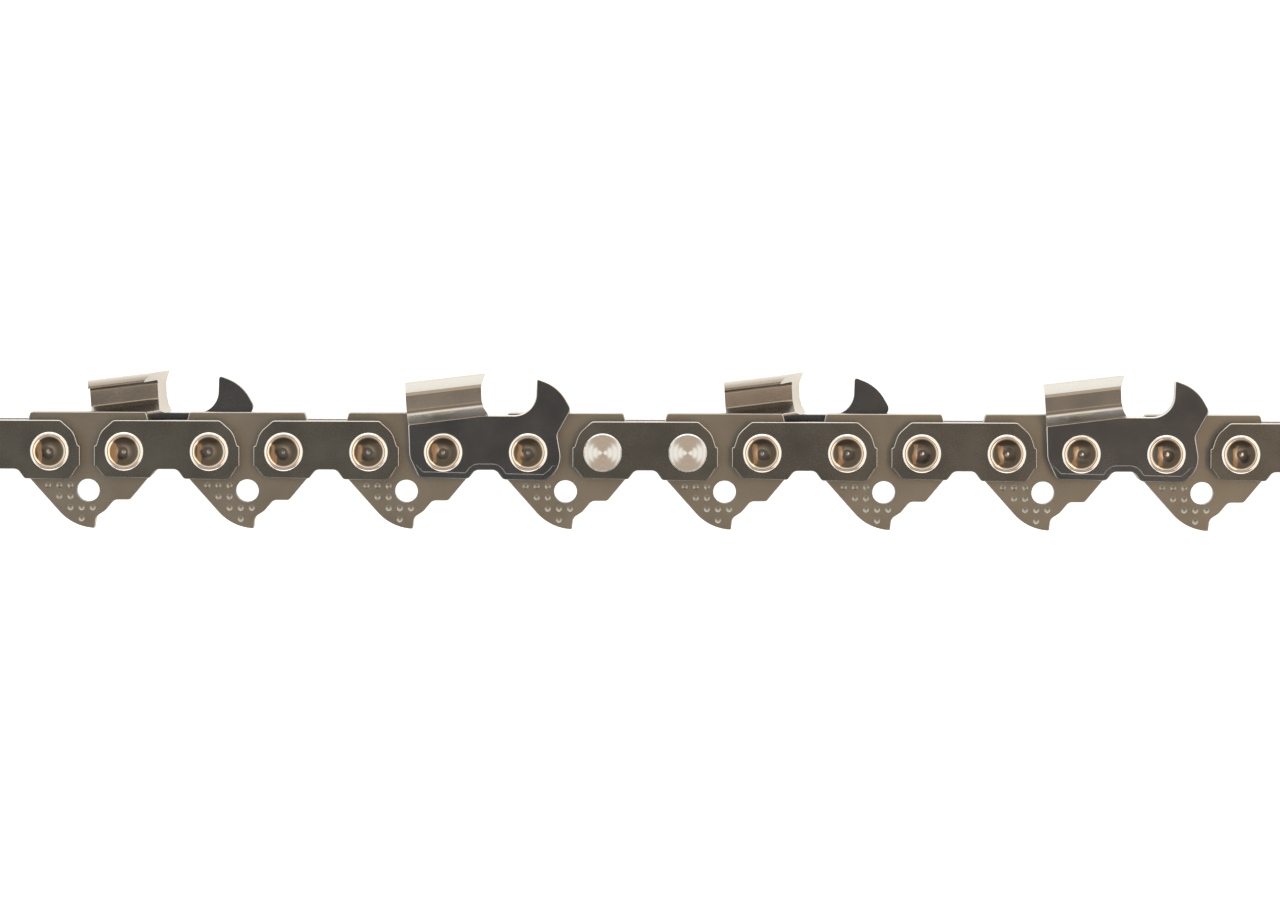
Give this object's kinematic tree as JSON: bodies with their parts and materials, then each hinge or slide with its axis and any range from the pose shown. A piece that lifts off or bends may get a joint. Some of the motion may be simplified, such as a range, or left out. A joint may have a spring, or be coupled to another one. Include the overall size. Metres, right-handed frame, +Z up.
{
  "type": "chainsaw chain loop",
  "caption": "Closed loop of saw chain lying flat, with hooked drive links between riveted tie straps and alternating left and right hand cutters.",
  "frame": {"origin": "middle of the loop, on the surface that it lies on", "axes": "+X along the upper run in its way of travel, +Y out of the loop at the upper run, +Z up along the rivets"},
  "size_m": [0.4722, 0.0912, 0.0084],
  "materials": {
    "drive_steel": "smooth warm grey steel",
    "strap_steel": "dark burnished steel",
    "cutter_steel": "dark steel with a chromed top",
    "rivet_steel": "bright steel",
    "link_steel": "burnished steel"
  },
  "bodies": {
    "link_pair_5": {"joining_tie_strap_near_5": "strap_steel", "joining_tie_strap_far_5": "strap_steel", "joining_rivets_5": "rivet_steel"},
    "drive_link_5": {"drive_link_5": "drive_steel"},
    "link_pair_6": {"tie_strap_near_6": "strap_steel", "left_cutter_far_6": "cutter_steel", "rivets_6": "rivet_steel"},
    "drive_link_6": {"drive_link_6": "drive_steel"},
    "link_pair_7": {"tie_strap_near_7": "strap_steel", "tie_strap_far_7": "strap_steel", "rivets_7": "rivet_steel"},
    "drive_link_7": {"drive_link_7": "drive_steel"},
    "link_pair_8": {"right_cutter_near_8": "cutter_steel", "tie_strap_far_8": "strap_steel", "rivets_8": "rivet_steel"},
    "drive_link_8": {"drive_link_8": "drive_steel"},
    "link_pair_9": {"tie_strap_near_9": "strap_steel", "tie_strap_far_9": "strap_steel", "rivets_9": "rivet_steel"},
    "nose_links_1": {"nose_links_1": "link_steel"},
    "nose_links_2": {"nose_links_2": "link_steel"},
    "nose_links_3": {"nose_links_3": "link_steel"},
    "nose_links_4": {"nose_links_4": "link_steel"},
    "lower_link_pair_1": {"lower_link_pair_1": "link_steel"},
    "lower_drive_link_1": {"lower_drive_link_1": "drive_steel"},
    "lower_link_pair_2": {"lower_link_pair_2": "link_steel"},
    "lower_drive_link_2": {"lower_drive_link_2": "drive_steel"},
    "lower_link_pair_3": {"lower_link_pair_3": "link_steel"},
    "lower_drive_link_3": {"lower_drive_link_3": "drive_steel"},
    "lower_link_pair_4": {"lower_link_pair_4": "link_steel"},
    "lower_drive_link_4": {"lower_drive_link_4": "drive_steel"},
    "lower_link_pair_5": {"lower_link_pair_5": "link_steel"},
    "lower_drive_link_5": {"lower_drive_link_5": "drive_steel"},
    "lower_link_pair_6": {"lower_link_pair_6": "link_steel"},
    "lower_drive_link_6": {"lower_drive_link_6": "drive_steel"},
    "lower_link_pair_7": {"lower_link_pair_7": "link_steel"},
    "lower_drive_link_7": {"lower_drive_link_7": "drive_steel"},
    "lower_link_pair_8": {"lower_link_pair_8": "link_steel"},
    "lower_drive_link_8": {"lower_drive_link_8": "drive_steel"},
    "lower_link_pair_9": {"lower_link_pair_9": "link_steel"},
    "tail_links_1": {"tail_links_1": "link_steel"},
    "tail_links_2": {"tail_links_2": "link_steel"},
    "tail_links_3": {"tail_links_3": "link_steel"},
    "tail_links_4": {"tail_links_4": "link_steel"},
    "link_pair_1": {"tie_strap_near_1": "strap_steel", "tie_strap_far_1": "strap_steel", "rivets_1": "rivet_steel"},
    "drive_link_1": {"drive_link_1": "drive_steel"},
    "link_pair_2": {"tie_strap_near_2": "strap_steel", "left_cutter_far_2": "cutter_steel", "rivets_2": "rivet_steel"},
    "drive_link_2": {"drive_link_2": "drive_steel"},
    "link_pair_3": {"tie_strap_near_3": "strap_steel", "tie_strap_far_3": "strap_steel", "rivets_3": "rivet_steel"},
    "drive_link_3": {"drive_link_3": "drive_steel"},
    "link_pair_4": {"right_cutter_near_4": "cutter_steel", "tie_strap_far_4": "strap_steel", "rivets_4": "rivet_steel"},
    "drive_link_4": {"drive_link_4": "drive_steel"}
  },
  "joints": [
    {"name": "drive_link_5_pivot", "type": "hinge", "parent": "link_pair_5", "child": "drive_link_5", "pos_m": [0.00507, 0.03613, 0.00418], "axis": [0, 0, -1], "range_deg": [-0.5, 2.5]},
    {"name": "link_pair_6_pivot", "type": "hinge", "parent": "drive_link_5", "child": "link_pair_6", "pos_m": [0.01397, 0.03613, 0.00418], "axis": [0, 0, -1], "range_deg": [-0.5, 2.5]},
    {"name": "drive_link_6_pivot", "type": "hinge", "parent": "link_pair_6", "child": "drive_link_6", "pos_m": [0.02413, 0.03613, 0.00418], "axis": [0, 0, -1], "range_deg": [-0.5, 2.5]},
    {"name": "link_pair_7_pivot", "type": "hinge", "parent": "drive_link_6", "child": "link_pair_7", "pos_m": [0.03302, 0.03613, 0.00418], "axis": [0, 0, -1], "range_deg": [-0.5, 2.5]},
    {"name": "drive_link_7_pivot", "type": "hinge", "parent": "link_pair_7", "child": "drive_link_7", "pos_m": [0.04317, 0.03613, 0.00418], "axis": [0, 0, -1], "range_deg": [-0.5, 2.5]},
    {"name": "link_pair_8_pivot", "type": "hinge", "parent": "drive_link_7", "child": "link_pair_8", "pos_m": [0.05208, 0.03613, 0.00418], "axis": [0, 0, -1], "range_deg": [-0.5, 2.5]},
    {"name": "drive_link_8_pivot", "type": "hinge", "parent": "link_pair_8", "child": "drive_link_8", "pos_m": [0.06223, 0.03613, 0.00418], "axis": [0, 0, -1], "range_deg": [-0.5, 2.5]},
    {"name": "link_pair_9_pivot", "type": "hinge", "parent": "drive_link_8", "child": "link_pair_9", "pos_m": [0.07112, 0.03613, 0.00418], "axis": [0, 0, -1], "range_deg": [-0.5, 2.5]},
    {"name": "nose_links_1_pivot", "type": "hinge", "parent": "link_pair_9", "child": "nose_links_1", "pos_m": [0.08128, 0.03613, 0.00418], "axis": [0, 0, -1], "range_deg": [-0.5, 2.5]},
    {"name": "nose_links_2_pivot", "type": "hinge", "parent": "nose_links_1", "child": "nose_links_2", "pos_m": [0.19557, 0.03613, 0.00418], "axis": [0, 0, -1], "range_deg": [-15, 3]},
    {"name": "nose_links_3_pivot", "type": "hinge", "parent": "nose_links_2", "child": "nose_links_3", "pos_m": [0.22663, 0.00507, 0.00418], "axis": [0, 0, -1], "range_deg": [-15, 3]},
    {"name": "nose_links_4_pivot", "type": "hinge", "parent": "nose_links_3", "child": "nose_links_4", "pos_m": [0.19557, -0.03613, 0.00418], "axis": [0, 0, -1], "range_deg": [-15, 3]},
    {"name": "lower_link_pair_1_pivot", "type": "hinge", "parent": "nose_links_4", "child": "lower_link_pair_1", "pos_m": [0.08128, -0.03613, 0.00418], "axis": [0, 0, -1], "range_deg": [-0.5, 2.5]},
    {"name": "lower_drive_link_1_pivot", "type": "hinge", "parent": "lower_link_pair_1", "child": "lower_drive_link_1", "pos_m": [0.07112, -0.03613, 0.00418], "axis": [0, 0, -1], "range_deg": [-0.5, 2.5]},
    {"name": "lower_link_pair_2_pivot", "type": "hinge", "parent": "lower_drive_link_1", "child": "lower_link_pair_2", "pos_m": [0.06223, -0.03613, 0.00418], "axis": [0, 0, -1], "range_deg": [-0.5, 2.5]},
    {"name": "lower_drive_link_2_pivot", "type": "hinge", "parent": "lower_link_pair_2", "child": "lower_drive_link_2", "pos_m": [0.05208, -0.03613, 0.00418], "axis": [0, 0, -1], "range_deg": [-0.5, 2.5]},
    {"name": "lower_link_pair_3_pivot", "type": "hinge", "parent": "lower_drive_link_2", "child": "lower_link_pair_3", "pos_m": [0.04317, -0.03613, 0.00418], "axis": [0, 0, -1], "range_deg": [-0.5, 2.5]},
    {"name": "lower_drive_link_3_pivot", "type": "hinge", "parent": "lower_link_pair_3", "child": "lower_drive_link_3", "pos_m": [0.03302, -0.03613, 0.00418], "axis": [0, 0, -1], "range_deg": [-0.5, 2.5]},
    {"name": "lower_link_pair_4_pivot", "type": "hinge", "parent": "lower_drive_link_3", "child": "lower_link_pair_4", "pos_m": [0.02413, -0.03613, 0.00418], "axis": [0, 0, -1], "range_deg": [-0.5, 2.5]},
    {"name": "lower_drive_link_4_pivot", "type": "hinge", "parent": "lower_link_pair_4", "child": "lower_drive_link_4", "pos_m": [0.01397, -0.03613, 0.00418], "axis": [0, 0, -1], "range_deg": [-0.5, 2.5]},
    {"name": "lower_link_pair_5_pivot", "type": "hinge", "parent": "lower_drive_link_4", "child": "lower_link_pair_5", "pos_m": [0.00507, -0.03613, 0.00418], "axis": [0, 0, -1], "range_deg": [-0.5, 2.5]},
    {"name": "drive_link_4_pivot", "type": "hinge", "parent": "link_pair_5", "child": "drive_link_4", "pos_m": [-0.00507, 0.03613, 0.00418], "axis": [0, 0, 1], "range_deg": [-0.5, 2.5]},
    {"name": "link_pair_4_pivot", "type": "hinge", "parent": "drive_link_4", "child": "link_pair_4", "pos_m": [-0.01397, 0.03613, 0.00418], "axis": [0, 0, 1], "range_deg": [-0.5, 2.5]},
    {"name": "drive_link_3_pivot", "type": "hinge", "parent": "link_pair_4", "child": "drive_link_3", "pos_m": [-0.02413, 0.03613, 0.00418], "axis": [0, 0, 1], "range_deg": [-0.5, 2.5]},
    {"name": "link_pair_3_pivot", "type": "hinge", "parent": "drive_link_3", "child": "link_pair_3", "pos_m": [-0.03302, 0.03613, 0.00418], "axis": [0, 0, 1], "range_deg": [-0.5, 2.5]},
    {"name": "drive_link_2_pivot", "type": "hinge", "parent": "link_pair_3", "child": "drive_link_2", "pos_m": [-0.04317, 0.03613, 0.00418], "axis": [0, 0, 1], "range_deg": [-0.5, 2.5]},
    {"name": "link_pair_2_pivot", "type": "hinge", "parent": "drive_link_2", "child": "link_pair_2", "pos_m": [-0.05208, 0.03613, 0.00418], "axis": [0, 0, 1], "range_deg": [-0.5, 2.5]},
    {"name": "drive_link_1_pivot", "type": "hinge", "parent": "link_pair_2", "child": "drive_link_1", "pos_m": [-0.06223, 0.03613, 0.00418], "axis": [0, 0, 1], "range_deg": [-0.5, 2.5]},
    {"name": "link_pair_1_pivot", "type": "hinge", "parent": "drive_link_1", "child": "link_pair_1", "pos_m": [-0.07112, 0.03613, 0.00418], "axis": [0, 0, 1], "range_deg": [-0.5, 2.5]},
    {"name": "tail_links_4_pivot", "type": "hinge", "parent": "link_pair_1", "child": "tail_links_4", "pos_m": [-0.08128, 0.03613, 0.00418], "axis": [0, 0, 1], "range_deg": [-0.5, 2.5]},
    {"name": "tail_links_3_pivot", "type": "hinge", "parent": "tail_links_4", "child": "tail_links_3", "pos_m": [-0.19557, 0.03613, 0.00418], "axis": [0, 0, 1], "range_deg": [-15, 3]},
    {"name": "tail_links_2_pivot", "type": "hinge", "parent": "tail_links_3", "child": "tail_links_2", "pos_m": [-0.22663, -0.00507, 0.00418], "axis": [0, 0, 1], "range_deg": [-15, 3]},
    {"name": "tail_links_1_pivot", "type": "hinge", "parent": "tail_links_2", "child": "tail_links_1", "pos_m": [-0.19557, -0.03613, 0.00418], "axis": [0, 0, 1], "range_deg": [-15, 3]},
    {"name": "lower_link_pair_9_pivot", "type": "hinge", "parent": "tail_links_1", "child": "lower_link_pair_9", "pos_m": [-0.08128, -0.03613, 0.00418], "axis": [0, 0, 1], "range_deg": [-0.5, 2.5]},
    {"name": "lower_drive_link_8_pivot", "type": "hinge", "parent": "lower_link_pair_9", "child": "lower_drive_link_8", "pos_m": [-0.07112, -0.03613, 0.00418], "axis": [0, 0, 1], "range_deg": [-0.5, 2.5]},
    {"name": "lower_link_pair_8_pivot", "type": "hinge", "parent": "lower_drive_link_8", "child": "lower_link_pair_8", "pos_m": [-0.06223, -0.03613, 0.00418], "axis": [0, 0, 1], "range_deg": [-0.5, 2.5]},
    {"name": "lower_drive_link_7_pivot", "type": "hinge", "parent": "lower_link_pair_8", "child": "lower_drive_link_7", "pos_m": [-0.05208, -0.03613, 0.00418], "axis": [0, 0, 1], "range_deg": [-0.5, 2.5]},
    {"name": "lower_link_pair_7_pivot", "type": "hinge", "parent": "lower_drive_link_7", "child": "lower_link_pair_7", "pos_m": [-0.04317, -0.03613, 0.00418], "axis": [0, 0, 1], "range_deg": [-0.5, 2.5]},
    {"name": "lower_drive_link_6_pivot", "type": "hinge", "parent": "lower_link_pair_7", "child": "lower_drive_link_6", "pos_m": [-0.03302, -0.03613, 0.00418], "axis": [0, 0, 1], "range_deg": [-0.5, 2.5]},
    {"name": "lower_link_pair_6_pivot", "type": "hinge", "parent": "lower_drive_link_6", "child": "lower_link_pair_6", "pos_m": [-0.02413, -0.03613, 0.00418], "axis": [0, 0, 1], "range_deg": [-0.5, 2.5]},
    {"name": "lower_drive_link_5_pivot", "type": "hinge", "parent": "lower_link_pair_6", "child": "lower_drive_link_5", "pos_m": [-0.01397, -0.03613, 0.00418], "axis": [0, 0, 1], "range_deg": [-0.5, 2.5]}
  ],
  "couplings": [
    {"joint": "link_pair_6_pivot", "follows": "drive_link_5_pivot", "ratio": 1},
    {"joint": "drive_link_6_pivot", "follows": "drive_link_5_pivot", "ratio": 1},
    {"joint": "link_pair_7_pivot", "follows": "drive_link_5_pivot", "ratio": 1},
    {"joint": "drive_link_7_pivot", "follows": "drive_link_5_pivot", "ratio": 1},
    {"joint": "link_pair_8_pivot", "follows": "drive_link_5_pivot", "ratio": 1},
    {"joint": "drive_link_8_pivot", "follows": "drive_link_5_pivot", "ratio": 1},
    {"joint": "link_pair_9_pivot", "follows": "drive_link_5_pivot", "ratio": 1},
    {"joint": "nose_links_1_pivot", "follows": "drive_link_5_pivot", "ratio": 1},
    {"joint": "nose_links_2_pivot", "follows": "drive_link_5_pivot", "ratio": -6},
    {"joint": "nose_links_3_pivot", "follows": "drive_link_5_pivot", "ratio": -6},
    {"joint": "nose_links_4_pivot", "follows": "drive_link_5_pivot", "ratio": -6},
    {"joint": "lower_link_pair_1_pivot", "follows": "drive_link_5_pivot", "ratio": 1},
    {"joint": "lower_drive_link_1_pivot", "follows": "drive_link_5_pivot", "ratio": 1},
    {"joint": "lower_link_pair_2_pivot", "follows": "drive_link_5_pivot", "ratio": 1},
    {"joint": "lower_drive_link_2_pivot", "follows": "drive_link_5_pivot", "ratio": 1},
    {"joint": "lower_link_pair_3_pivot", "follows": "drive_link_5_pivot", "ratio": 1},
    {"joint": "lower_drive_link_3_pivot", "follows": "drive_link_5_pivot", "ratio": 1},
    {"joint": "lower_link_pair_4_pivot", "follows": "drive_link_5_pivot", "ratio": 1},
    {"joint": "lower_drive_link_4_pivot", "follows": "drive_link_5_pivot", "ratio": 1},
    {"joint": "lower_link_pair_5_pivot", "follows": "drive_link_5_pivot", "ratio": 1},
    {"joint": "drive_link_4_pivot", "follows": "drive_link_5_pivot", "ratio": 1},
    {"joint": "link_pair_4_pivot", "follows": "drive_link_5_pivot", "ratio": 1},
    {"joint": "drive_link_3_pivot", "follows": "drive_link_5_pivot", "ratio": 1},
    {"joint": "link_pair_3_pivot", "follows": "drive_link_5_pivot", "ratio": 1},
    {"joint": "drive_link_2_pivot", "follows": "drive_link_5_pivot", "ratio": 1},
    {"joint": "link_pair_2_pivot", "follows": "drive_link_5_pivot", "ratio": 1},
    {"joint": "drive_link_1_pivot", "follows": "drive_link_5_pivot", "ratio": 1},
    {"joint": "link_pair_1_pivot", "follows": "drive_link_5_pivot", "ratio": 1},
    {"joint": "tail_links_4_pivot", "follows": "drive_link_5_pivot", "ratio": 1},
    {"joint": "tail_links_3_pivot", "follows": "drive_link_5_pivot", "ratio": -6},
    {"joint": "tail_links_2_pivot", "follows": "drive_link_5_pivot", "ratio": -6},
    {"joint": "tail_links_1_pivot", "follows": "drive_link_5_pivot", "ratio": -6},
    {"joint": "lower_link_pair_9_pivot", "follows": "drive_link_5_pivot", "ratio": 1},
    {"joint": "lower_drive_link_8_pivot", "follows": "drive_link_5_pivot", "ratio": 1},
    {"joint": "lower_link_pair_8_pivot", "follows": "drive_link_5_pivot", "ratio": 1},
    {"joint": "lower_drive_link_7_pivot", "follows": "drive_link_5_pivot", "ratio": 1},
    {"joint": "lower_link_pair_7_pivot", "follows": "drive_link_5_pivot", "ratio": 1},
    {"joint": "lower_drive_link_6_pivot", "follows": "drive_link_5_pivot", "ratio": 1},
    {"joint": "lower_link_pair_6_pivot", "follows": "drive_link_5_pivot", "ratio": 1},
    {"joint": "lower_drive_link_5_pivot", "follows": "drive_link_5_pivot", "ratio": 1}
  ]
}
